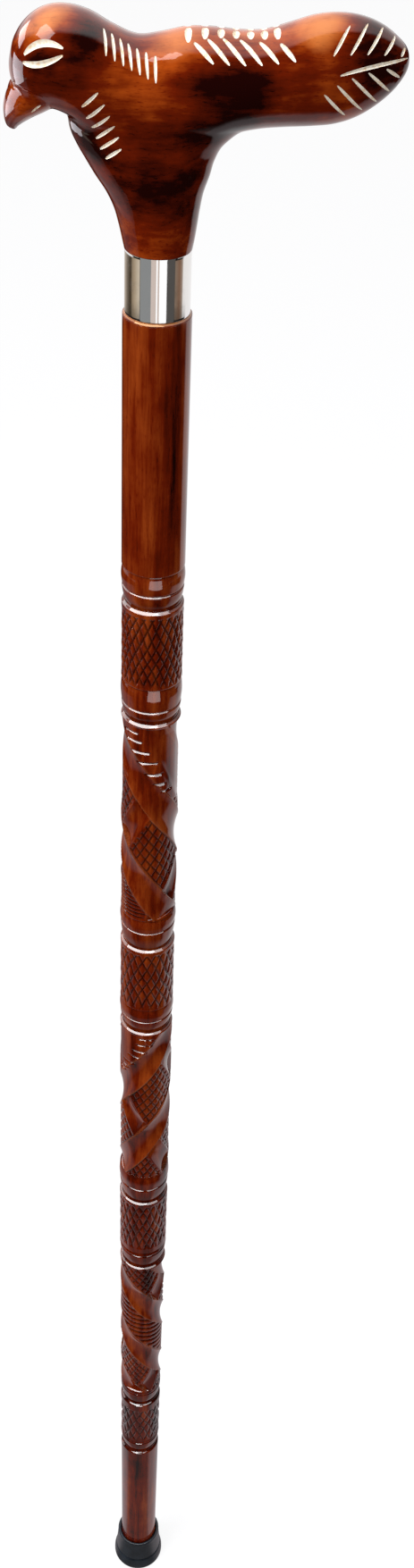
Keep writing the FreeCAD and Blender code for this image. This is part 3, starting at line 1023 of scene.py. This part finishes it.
# Carved strokes: rows of gouges through the varnish into the pale wood. Each row has
# the start and end of its first, middle and last stroke in mm, on the near side.
gouge_rows = (
    ("nape", 7, 0.52, ((-18, -5, 912.6), (-16.9, -11.4, 906.3)),
     ((-10.3, -6, 908.8), (-8.9, -12, 902.4)), ((-1.8, -9.3, 906.5), (-1.5, -13.7, 899.4))),
    ("breast", 6, 0.55, ((-24.4, -14, 891.7), (-19.1, -15, 896.7)),
     ((-20.9, -10, 882.5), (-14.8, -13.5, 887.6)), ((-17.1, -11, 875), (-12, -12.7, 878.8))),
    ("crest", 7, 1.15, ((8.2, -0.6, 912.9), (8.2, -7.6, 910)),
     ((23, -0.6, 912), (22.8, -5.4, 911.2)), ((35.4, -0.6, 913.3), (35.8, -6.6, 911.3))),
    ("back", 6, 0.78, ((9.8, -7.5, 910.2), (16.1, -12.4, 905.2)),
     ((21.2, -5.5, 911), (28.5, -12.4, 905)), ((36.3, -8, 910.7), (41.2, -12, 906.4))),
    ("tail_upper", 5, 0.5, ((52.6, -11, 908.1), (57.6, -5.4, 915.9)),
     ((63.1, -9.4, 908.3), (67.8, -2, 914.3)), ((73.6, -5, 906.8), (75.3, -2.5, 909))),
    ("tail_lower", 5, 0.5, ((50.4, -12, 897.1), (58, -7.4, 889.4)),
     ((58.7, -11.3, 902), (67.6, -5.5, 893.5)), ((69.4, -8.3, 904.1), (73.7, -5, 901))),
)
# Single strokes: start, middle and end
single_gouges = (
    ("midrib", 0.6, (54.8, -11.8, 902.6), (66, -9.5, 905.2), (76.3, -3, 906)),
    ("upper_lid", 1.2, (-41.9, -11.2, 906), (-36.4, -12.5, 910), (-29.5, -13.9, 909)),
    ("lower_lid", 1.0, (-42.3, -11.5, 904.1), (-36.7, -14.4, 904.4), (-29.6, -14.6, 907.4)),
    ("mouth", 0.4, (-37.1, -10.2, 890.8), (-38.8, -9.6, 889.5), (-40.2, -8.7, 888)),
)
cheek_line = ((-46, -5.6, 896.4), (-42.3, -11.1, 895.9), (-36.0, -12.1, 893.9))
cheek_half_width = 0.45
gouge_deep_share = 0.95
gouge_steps = 15
gouge_sides = 12
gouge_tip = 0.015
gouge_lead = 0.85
gouge_fullness = 0.45


def gouge(name, start, middle, end, half_width, side):
    """A boat-shaped cutter that follows the skin: ovals along a bent line, thin at both ends.

    The line is the parabola through the three points, laid onto the skin. The ovals
    stand on the skin's slope.
    """
    t = np.linspace(gouge_tip, 1 - gouge_tip, gouge_steps)[:, None]
    start, middle, end = (np.array(p, float) * (1, side, 1) for p in (start, middle, end))
    line = start * (1 - t) * (1 - 2 * t) + middle * 4 * t * (1 - t) + end * t * (2 * t - 1)
    line = to_skin(line)
    out = uphill(line)
    out /= np.linalg.norm(out, axis=1, keepdims=True)
    along = np.gradient(line, axis=0)
    along /= np.linalg.norm(along, axis=1, keepdims=True)
    across = np.cross(out, along)
    swell = np.sin(np.pi * t ** gouge_lead) ** gouge_fullness * half_width
    turn = np.linspace(0, 2 * np.pi, gouge_sides, endpoint=False)
    ring = across[:, None] * np.cos(turn)[:, None] + out[:, None] * np.sin(turn)[:, None] * gouge_deep_share
    return skin(name, line[:, None] + ring * swell[:, None])


# Sprayed patches of stain: middle in mm, radius and how dark (or light) they are. The light ones on
# the crown, back and tail are stain worn thin in part and painted light from above in part.
sprayed_and_lit_patches = (
    ((-38.8, -13.6, 899), 8, -0.12),
    ((-22.7, -10.2, 911.9), 10, -0.50),
    ((-29, -11, 911), 7, -0.28),
    ((-43.8, -9.8, 904.4), 7, -0.28),
    ((-36.5, -13.2, 906.8), 4, -0.40),
    ((-25, -13.5, 904), 11, -0.32),
    ((3.6, -12.8, 867), 24, -0.38),
    ((-3, -13, 872), 14, -0.16),
    ((6, -12.5, 858), 12, -0.14),
    ((18, -15, 893), 19, -0.44),
    ((25, -14.6, 898), 15, -0.20),
    ((30, -13, 902), 9, -0.20),
    ((10, -14.5, 901), 8, -0.05),
    ((26.7, -12, 888.2), 10, -0.20),
    ((41.4, -12, 891.5), 10, -0.16),
    ((67.2, -8.9, 906.2), 15, -0.50),
    ((61.3, -8.6, 911.2), 8, -0.24),
    ((68, -8, 899), 10, -0.26),
    ((-24.5, -6.9, 879), 10, -0.36),
    ((-19.4, -8.9, 872), 8, -0.26),
    ((16.1, -9.8, 880.5), 9, -0.14),
    ((-33, -8, 915.5), 12, 0.60),
    ((-45, -6, 911), 6, 0.22),
    ((5, -6, 910.5), 13, 0.40),
    ((27, -5, 910.5), 11, 0.26),
    ((50, -5, 916), 13, 0.52),
    ((-8, -14.3, 895), 12, 0.12),
    ((3, -15, 888), 8, 0.06),
    ((-2, -11.5, 846), 9, 0.18),
    ((44, -12.5, 899), 9, 0.04),
)

# In mm: how far a patch's edge wanders, its even middle, and how far it fades past its radius
patch_wobble = 10
patch_flat = 5
patch_fringe = 9


def patch_shift(tree):
    """Sum of the patches: each fades from its middle to its radius, alike on both sides of the bird."""
    place = add(tree, "TexCoord").outputs["Object"]
    apart = add(tree, "SeparateXYZ", {"Vector": place}).outputs
    near_side = maths(tree, "MULTIPLY", maths(tree, "ABSOLUTE", apart["Y"]), -1.0)
    folded = add(tree, "CombineXYZ", {"X": apart["X"], "Y": near_side, "Z": apart["Z"]}).outputs[0]
    wobble = noise(tree, place, 110.0, 3.0)
    total = None
    for middle, radius, strength in sprayed_and_lit_patches:
        apart = {0: folded, 1: [c * mm for c in middle]}
        away = add(tree, "VectorMath", apart, operation="DISTANCE").outputs["Value"]
        wobbled = {0: wobble, 1: patch_wobble * mm, 2: away}
        rough = add(tree, "Math", wobbled, operation="MULTIPLY_ADD").outputs[0]
        fringe = (patch_flat * mm, (radius + patch_fringe) * mm)
        fade = spread(tree, rough, fringe, (strength, 0.0), "SMOOTHSTEP")
        total = fade if total is None else maths(tree, "ADD", total, fade)
    return total


def handle_shader(tree):
    """The shaft's stain in sprayed patches, paler on the crown, back and tail where it is worn thin in part
    and light from above is painted in part, under a slightly rippled varnish."""
    shift = maths(tree, "ADD", patch_shift(tree), 0.55)
    wood = add(tree, "Group", {
        "Dark": near_black, "Middle": deep_red_brown, "Light": warm_orange,
        "Streak": 0.7, "Mottle": 0.9, "Shift": shift,
        "Stretch": (0.16, 1.0, 1.0), "Pore stretch": (0.25, 1.0, 1.0),
    }, node_tree=stained_grain).outputs
    # Painted light in part: the lightest patches, on the crown, back and tail, turn towards pale amber, as
    # stain worn thin and as light falling from above
    thin_stain_and_top_light = spread(tree, shift, (0.72, 1.08), (0.0, 0.8))
    rubbed_and_top_lit = maths(tree, "MULTIPLY", thin_stain_and_top_light, wood["Tone"])
    colour = mixed(tree, rubbed_and_top_lit, wood["Color"], pale_amber)
    surface = varnished(tree, colour, relief(tree, wood["Height"], 0.08, 0.05))
    place = add(tree, "TexCoord").outputs["Object"]
    brushed = add(tree, "Mapping", {"Vector": place, "Scale": (1.0, 0.5, 0.4)}).outputs[0]
    ripple = noise(tree, brushed, 330.0, 2.0)
    tree.links.new(relief(tree, ripple, 1.0, 0.06), surface.inputs["Coat Normal"])
    return surface


handle_wood = finish("varnished handle wood", handle_shader)

cutters = []
for name, count, half_width, first, middle, last in gouge_rows:
    keys = np.array([first, middle, last], float)
    for number in range(count):
        share = number / (count - 1)
        weights = np.array([(1 - share) * (1 - 2 * share), 4 * share * (1 - share), share * (2 * share - 1)])
        start, end = np.tensordot(weights, keys, 1)
        for side in (1, -1):
            cutters.append(gouge(name, start, (start + end) / 2, end, half_width, side))
for name, half_width, start, middle, end in single_gouges:
    cutters += [gouge(name, start, middle, end, half_width, side) for side in (1, -1)]
for cutter in cutters:
    cutter.data.materials.append(bare_wood)
insert_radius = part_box("handle_insert")[1].x / mm
insert_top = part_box("handle_insert")[1].z / mm
turned_columns = 120
below_block = 9
stud_room = 1
crease_angle = math.radians(38)

# What is cut off the foot of the block, with the bores for the bush and the stud
base_profile = np.array([
    (neck_base, handle_base - below_block), (neck_base, handle_base), (insert_radius, handle_base),
    (insert_radius, insert_top), (stud_bore, insert_top), (stud_bore, insert_top + stud_room),
])
bore = skin("bore", turned(base_profile, turned_columns))
bore.data.materials.append(handle_wood)
creases = [gouge("cheek", *cheek_line, cheek_half_width, side) for side in (1, -1)]
for crease in creases:
    crease.data.materials.append(handle_wood)
tools = cutters + creases + [bore]
with bpy.context.temp_override(active_object=tools[0], selected_editable_objects=tools):
    bpy.ops.object.join()
carve = bird_block.modifiers.new("carve", "BOOLEAN")
carve.operation = "DIFFERENCE"
carve.solver = "EXACT"
carve.use_self = True
carve.material_mode = "TRANSFER"
carve.object = tools[0]
bird_block.data.materials.append(handle_wood)
handle = plain_copy("carved_handle", bird_block)
bpy.data.objects.remove(tools[0])
handle.data.set_sharp_from_angle(angle=crease_angle)
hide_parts("handle")
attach(handle, "handle")

spigot_high = handle_base + 0.5
spigot_profile = rounded([
    (insert_radius, spigot_high, 0), (insert_radius, handle_low, 0.3), (spigot_radius, handle_low, 0.5),
    (spigot_radius, spigot_high, 0),
])
spigot_profile = np.concatenate([spigot_profile, spigot_profile[:1]])
spigot = skin("handle_spigot", turned(spigot_profile, turned_columns))
spigot.data.materials.append(bare_wood)
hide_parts("handle")
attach(spigot, "handle")

# Floor and light
# A white studio floor under a soft key light high on the left and a second lamp overhead.
# The varnish and the chrome mirror the floor's painted zones and cards of their own.
floor_reach = 4.0
white_paper = (0.95, 0.93, 0.94)
dark_room = (0.012, 0.011, 0.010)

# What the floor shows in a mirror, by bearing in degrees from the camera's side, + to the right
near_grey = (0.20, 0.19, 0.19)
near_mauve = (0.62, 0.56, 0.58)
left_mauve = (0.30, 0.27, 0.28)
right_mauve = (0.66, 0.60, 0.62)
near_sides = ((-180, near_mauve), (-84, near_mauve), (-66, near_grey), (48, near_grey),
              (64, near_mauve), (180, near_mauve))
sides_only = ((-180, left_mauve), (-125, left_mauve), (-84, left_mauve), (-70, dark_room),
              (68, dark_room), (80, right_mauve), (130, white_paper), (180, white_paper))
right_rear_only = ((-180, dark_room), (108, dark_room), (116, white_paper), (180, white_paper))
room_stripes = (
    (-180, (0.98, 0.98, 1.0)), (-150, (0.50, 0.42, 0.34)), (-128, (0.20, 0.16, 0.12)),
    (-112, (0.07, 0.05, 0.03)), (-104, (0.07, 0.05, 0.03)), (-98, (0.30, 0.23, 0.15)),
    (-84, (0.48, 0.38, 0.26)), (-66, (0.68, 0.59, 0.46)), (-62, dark_room), (60, dark_room),
    (62, (0.26, 0.19, 0.14)), (80, (0.24, 0.13, 0.08)), (92, (0.36, 0.27, 0.21)), (98, (0.93, 0.90, 0.87)),
    (180, (0.98, 0.97, 0.97)),
)
rear_only = ((-180, white_paper), (-100, white_paper), (-90, dark_room), (90, dark_room),
             (100, white_paper), (180, white_paper))
# Zones outwards: where each starts to show, where it is alone, in metres from the stick
floor_zones = ((0, 0, near_sides), (0.28, 0.42, sides_only), (1.05, 1.15, right_rear_only),
               (1.82, 1.88, room_stripes), (2.10, 2.20, rear_only))


def floor_shader(tree):
    """White to the camera with a soft shadow. In a mirror it shows zone by zone what stands at
    each bearing, out to the room's upright stripes."""
    place = add(tree, "TexCoord").outputs["Object"]
    apart = add(tree, "SeparateXYZ", {"Vector": place}).outputs
    bearing = maths(tree, "ARCTAN2", apart["X"], maths(tree, "MULTIPLY", apart["Y"], -1.0))
    turn = spread(tree, bearing, (-math.pi, math.pi))
    away = add(tree, "VectorMath", {0: place}, operation="LENGTH").outputs["Value"]
    shown = None
    for start, end, stops in floor_zones:
        zone = ramp(tree, turn, [((degrees + 180) / 360, colour) for degrees, colour in stops])
        shown = zone if shown is None else mixed(tree, spread(tree, away, (start, end)), shown, zone)
    seen = add(tree, "Emission", {"Color": (1, 1, 1, 1), "Strength": 0.83})
    shaded = add(tree, "BsdfDiffuse", {"Color": (0.30, 0.30, 0.31, 1)})
    white = add(tree, "AddShader", {0: seen.outputs[0], 1: shaded.outputs[0]})
    gloss = add(tree, "Emission", {"Color": shown, "Strength": 1.0})
    pale = add(tree, "BsdfDiffuse", {"Color": (0.8, 0.8, 0.8, 1)})
    ray = add(tree, "LightPath").outputs
    first = add(tree, "MixShader", {0: ray["Is Glossy Ray"], 1: pale.outputs[0], 2: gloss.outputs[0]})
    return add(tree, "MixShader", {0: ray["Is Camera Ray"], 1: first.outputs[0], 2: white.outputs[0]})


corner = np.array([(-1, -1, 0), (1, -1, 0), (1, 1, 0), (-1, 1, 0)]) * floor_reach
floor_mesh = bpy.data.meshes.new("floor")
floor_mesh.from_pydata(corner.tolist(), [], [(0, 1, 2, 3)])
floor = put("floor", floor_mesh)
floor_mesh.materials.append(finish("studio floor", floor_shader))
floor_mesh.materials[0].cycles.emission_sampling = "NONE"


def panel(name, place, aim, size, glow, colour=(1, 1, 1), shown_in=None):
    """A rectangular lamp of even glow that faces a point. It lights the whole object, or only shows
    in the gloss of the pieces listed."""
    lamp = bpy.data.lights.new(name, "AREA")
    lamp.shape = "RECTANGLE"
    lamp.size, lamp.size_y = size
    lamp.color = colour
    lamp.energy = glow * math.pi * size[0] * size[1]
    holder = put(name, lamp)
    facing = (Vector(aim) - Vector(place)).to_track_quat("-Z", "Y").to_matrix().to_4x4()
    holder.matrix_world = Matrix.Translation(place) @ facing
    holder.visible_camera = False
    holder.visible_glossy = shown_in is not None
    holder.visible_diffuse = shown_in is None
    if shown_in:
        holder.light_linking.receiver_collection = bpy.data.collections.new(name)
        for piece in shown_in:
            holder.light_linking.receiver_collection.objects.link(piece)


# Lamps on the whole object
panel("key_light", (-0.80, -0.50, 1.75), (0, 0, 0.62), (0.9, 0.9), 6.6)
panel("top_light", (-0.10, -0.10, 1.75), (0, 0, 0.90), (0.5, 0.5), 3.4)

# Cards that only some pieces mirror: place, aim, size, glow, colour and pieces
plain_white = (1, 1, 1)
for name, *card in (
    ("window", (-0.86, 0.60, 1.20), (-0.04, 0, 0.905), (0.62, 0.28), 6.0, (1, 0.94, 0.97), [handle]),
    ("window_pane", (-0.53, -0.25, 1.74), (-0.04, 0, 0.905), (0.62, 0.46), 6.5, (1, 0.88, 0.88), [handle]),
    ("beak_card", (-0.79, 0.19, 0.686), (-0.045, 0, 0.893), (0.66, 0.42), 5.0, (0.95, 0.93, 1), [handle]),
    ("left_card", (-0.70, 0.26, 0.30), (0, 0.26, 0.88), (1.15, 0.54), 0.2, (1, 0.94, 0.97), [handle]),
    ("ring_softbox", (-0.36, -0.28, 1.45), (-0.02, -0.02, 0.60), (1.35, 1.15), 18.0, plain_white,
     shaft_pieces),
    ("ring_softbox_right", (0.40, -0.42, 1.45), (0, -0.01, 0.60), (0.8, 0.9), 8.0, plain_white,
     shaft_pieces),
    ("bead_card", (0.095, -0.58, 0.50), (0, 0, 0.69), (0.46, 0.40), 4.0, (1, 0.86, 0.84),
     shaft_pieces[1:4:2]),
    ("shoulder_card", (-0.30, -0.28, 1.45), (0, 0, 0.82), (1.0, 0.9), 14.0, (1, 0.72, 0.38), [shoulder]),
    ("low_softbox", (-0.08, -0.84, 0.85), (0, 0, 0.15), (0.5, 0.35), 18.0, plain_white, shaft_pieces[-2:]),
    ("ring_window", (-1.05, 0.50, 1.02), (0, 0, 0.60), (1.0, 0.8), 5.0, plain_white, shaft_pieces),
):
    panel(name, *card)

# Upright cards that only the collar mirrors: first and last bearing, lowest height and colour.
# Those beside and behind the stick hang above what the camera's view mirrors.
card_away = 1.10
card_top = 1.15
collar_cards = (
    ("slate_card", -62, -23, 0.20, (0.27, 0.28, 0.28)), ("pink_card", -23, 2, 0.20, (0.68, 0.57, 0.51)),
    ("white_card", 2, 31, 0.20, (1.2, 1.2, 1.2)), ("brown_card", 31, 60, 0.20, (0.08, 0.075, 0.07)),
    ("khaki_card", -125, -66, 0.50, (0.40, 0.36, 0.29)), ("pale_card", 68, 118, 0.50, (0.46, 0.44, 0.42)),
    ("grey_card", 124, 168, 0.50, (0.22, 0.22, 0.22)), ("rear_card", 170, 196, 0.50, (0.60, 0.59, 0.58)),
    ("rear_grey_card", 198, 226, 0.50, (0.30, 0.29, 0.27)),
)
for name, first, last, low, colour in collar_cards:
    middle = math.radians((first + last) / 2)
    height = (low + card_top) / 2
    place = (card_away * math.sin(middle), -card_away * math.cos(middle), height)
    width = 2 * card_away * math.tan(math.radians(last - first) / 2)
    panel(name, place, (0, 0, height), (width, card_top - low), 1.0, colour, [collar])

# The room: white to the camera, even on the wood, and in a mirror a bright ceiling over dark walls
ceiling_from, ceiling_full = 0.46, 0.62
wall_glow, ceiling_glow = 0.015, 1.9
world = bpy.data.worlds.new("room")
bpy.context.scene.world = world
world.use_nodes = True
world.cycles.sampling_method = "NONE"
tree = world.node_tree
tree.nodes.clear()
direction = add(tree, "TexCoord").outputs["Generated"]
upwards = add(tree, "VectorMath", {0: direction, 1: (0, 0.6, 0.8)}, operation="DOT_PRODUCT")
ceiling = spread(tree, upwards.outputs["Value"], (ceiling_from, ceiling_full),
                 (wall_glow, ceiling_glow), "SMOOTHSTEP")
mirror = add(tree, "Background", {"Strength": ceiling})
even = add(tree, "Background", {"Color": (1, 1, 1, 1), "Strength": 0.42})
white = add(tree, "Background", {"Color": (1, 1, 1, 1), "Strength": 1.0})
ray = add(tree, "LightPath").outputs
unseen = add(tree, "MixShader", {0: ray["Is Glossy Ray"], 1: even.outputs[0], 2: mirror.outputs[0]})
seen = add(tree, "MixShader", {0: ray["Is Camera Ray"], 1: unseen.outputs[0], 2: white.outputs[0]})
add(tree, "OutputWorld", {"Surface": seen.outputs[0]})
